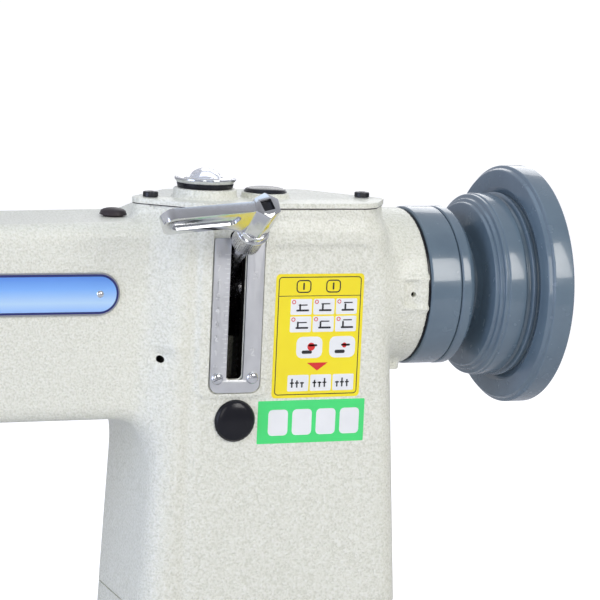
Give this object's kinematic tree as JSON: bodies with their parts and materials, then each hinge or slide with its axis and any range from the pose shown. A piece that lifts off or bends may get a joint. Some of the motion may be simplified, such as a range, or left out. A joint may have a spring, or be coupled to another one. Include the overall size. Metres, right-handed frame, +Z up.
{
  "type": "cylinder-arm leather sewing machine",
  "caption": "Cylinder-arm compound-feed leather sewing machine head on a flat base, with a stepped handwheel, stitch length lever, oil sight and working needle and hook drive.",
  "frame": {"origin": "centre of the base's underside, under the pillar", "axes": "+X along the main shaft towards the handwheel, +Y to the back, +Z up"},
  "size_m": [0.5475, 0.1891, 0.428],
  "materials": {
    "cream_paint": "hammer-tone cream enamel with a fine orange-peel texture",
    "grey_paint": "glossy blue-grey enamel",
    "satin_plate": "satin engraved steel",
    "steel": "ground and polished steel",
    "cable_steel": "twisted steel wire rope",
    "chrome": "polished chrome plate",
    "black_steel": "black oxide finish",
    "rubber": "black rubber with a soft sheen",
    "bronze": "turned bearing bronze",
    "glass": "clear moulded dome",
    "blue_enamel": "glossy blue enamel with a bright border"
  },
  "bodies": {
    "casting": {"arm_casting": "cream_paint", "bed_casting": "cream_paint", "top_cover": "cream_paint", "oil_sight_gasket": "rubber", "oil_sight_ring": "chrome", "oil_sight_glass": "glass", "cover_plug": "rubber", "arm_top_plug": "rubber", "front_plug": "rubber", "stitch_plate": "satin_plate", "badge_plate": "blue_enamel", "rear_bush": "bronze", "regulator_sleeve": "bronze", "front_bush": "bronze", "bearing_housing": "grey_paint", "housing_cap": "grey_paint", "needle_frame_pin": "steel", "presser_spring": "steel", "tension_post": "steel", "tension_disc_outer": "chrome", "face_plate": "cream_paint", "bobbin_case": "steel", "hook_shaft_bush": "bronze", "timing_belt": "rubber", "needle_plate": "chrome", "rear_cover": "cream_paint"},
    "shaft": {"main_shaft": "steel", "handwheel": "grey_paint", "handwheel_nut": "steel", "needle_crank": "steel", "upper_belt_pulley": "steel", "feed_eccentric": "steel"},
    "crank_rod": {"connecting_rod": "steel"},
    "needle_frame": {"needle_bar_frame": "steel"},
    "needle_bar": {"needle_bar": "steel", "needle": "steel"},
    "walking_foot": {"walking_foot": "steel"},
    "presser": {"presser_bar": "steel", "presser_foot": "steel"},
    "presser_dial": {"presser_adjusting_screw": "black_steel"},
    "take_up": {"take_up_lever": "steel"},
    "tension_dial": {"tension_nut": "black_steel"},
    "stitch_lever": {"stitch_lever": "black_steel"},
    "lever_lock": {"lever_knurled_nut": "steel", "lever_handle": "chrome"},
    "hand_lifter": {"hand_lifter": "chrome"},
    "foot_lift": {"foot_lift_lever": "black_steel"},
    "lift_cable": {"cable_clevis": "steel", "lift_cable": "cable_steel", "cable_hook": "steel"},
    "hook": {"hook_shaft": "steel", "rotary_hook": "steel", "lower_belt_pulley": "steel"},
    "bobbin": {"bobbin": "satin_plate"},
    "feed": {"feed_rock_shaft": "steel", "feed_dog_carrier": "steel", "feed_dog": "steel"},
    "feed_rod": {"feed_rod": "steel"},
    "hook_cover": {"hook_cover": "cream_paint"}
  },
  "joints": [
    {"name": "main_shaft_spin", "type": "hinge", "parent": "casting", "child": "shaft", "pos_m": [0, 0, 0.3535], "axis": [1, 0, 0], "continuous": true},
    {"name": "connecting_rod_swing", "type": "hinge", "parent": "shaft", "child": "crank_rod", "pos_m": [-0.288, 0, 0.3745], "axis": [1, 0, 0], "continuous": true},
    {"name": "hook_shaft_spin", "type": "hinge", "parent": "casting", "child": "hook", "pos_m": [0, 0, 0.105], "axis": [1, 0, 0], "continuous": true},
    {"name": "bobbin_spin", "type": "hinge", "parent": "casting", "child": "bobbin", "pos_m": [-0.316, 0, 0.105], "axis": [1, 0, 0], "continuous": true},
    {"name": "feed_rock", "type": "hinge", "parent": "casting", "child": "feed", "pos_m": [0, 0, 0.078], "axis": [1, 0, 0], "range_deg": [-4.1, 4.1]},
    {"name": "feed_rod_swing", "type": "hinge", "parent": "feed", "child": "feed_rod", "pos_m": [0.003, 0.022, 0.078], "axis": [1, 0, 0], "range_deg": [-4.1, 4.1]},
    {"name": "needle_frame_rock", "type": "hinge", "parent": "casting", "child": "needle_frame", "pos_m": [-0.3, 0.017, 0.374], "axis": [1, 0, 0], "range_deg": [-1.26, 1.26]},
    {"name": "needle_bar_stroke", "type": "slide", "parent": "needle_frame", "child": "needle_bar", "axis": [0, 0, 1], "range_m": [-0.042, 0]},
    {"name": "walking_foot_lift", "type": "slide", "parent": "needle_frame", "child": "walking_foot", "axis": [0, 0, 1], "range_m": [0, 0.008]},
    {"name": "presser_lift", "type": "slide", "parent": "casting", "child": "presser", "axis": [0, 0, 1], "range_m": [0, 0.01], "deforming": ["presser_spring"]},
    {"name": "presser_screw_turn", "type": "hinge", "parent": "casting", "child": "presser_dial", "pos_m": [-0.33, 0, 0.4], "axis": [0, 0, 1], "range_deg": [-180, 180]},
    {"name": "take_up_swing", "type": "hinge", "parent": "casting", "child": "take_up", "pos_m": [-0.3185, 0.02, 0.3405], "axis": [1, 0, 0], "range_deg": [0, 42]},
    {"name": "tension_nut_turn", "type": "hinge", "parent": "casting", "child": "tension_dial", "pos_m": [-0.272, -0.07, 0.352], "axis": [0, 1, 0], "range_deg": [-180, 180]},
    {"name": "stitch_lever_swing", "type": "hinge", "parent": "casting", "child": "stitch_lever", "pos_m": [-0.0216, 0, 0.3535], "axis": [1, 0, 0], "range_deg": [0, 64]},
    {"name": "lever_lock_turn", "type": "hinge", "parent": "stitch_lever", "child": "lever_lock", "pos_m": [-0.0216, -0.0756, 0.39886], "axis": [0, -0.788, 0.6157], "range_deg": [-30, 60]},
    {"name": "hand_lifter_swing", "type": "hinge", "parent": "casting", "child": "hand_lifter", "pos_m": [-0.318, 0.039, 0.3], "axis": [0, 1, 0], "range_deg": [-60, 0]},
    {"name": "foot_lift_swing", "type": "hinge", "parent": "casting", "child": "foot_lift", "pos_m": [-0.11, 0.05, 0.303], "axis": [0, 1, 0], "range_deg": [0, 25]},
    {"name": "cable_swing", "type": "hinge", "parent": "foot_lift", "child": "lift_cable", "pos_m": [-0.054, 0.057, 0.272], "axis": [0, 1, 0], "range_deg": [-25, 0]},
    {"name": "hook_cover_swing", "type": "hinge", "parent": "casting", "child": "hook_cover", "pos_m": [-0.3464, 0, 0.0604], "axis": [0, 1, 0], "range_deg": [-100, 0]}
  ],
  "couplings": [
    {"joint": "connecting_rod_swing", "follows": "main_shaft_spin", "ratio": -1},
    {"joint": "hook_shaft_spin", "follows": "main_shaft_spin", "ratio": 2},
    {"joint": "needle_frame_rock", "follows": "feed_rock", "ratio": -0.305},
    {"joint": "feed_rod_swing", "follows": "feed_rock", "ratio": -1},
    {"joint": "cable_swing", "follows": "foot_lift_swing", "ratio": -1}
  ]
}
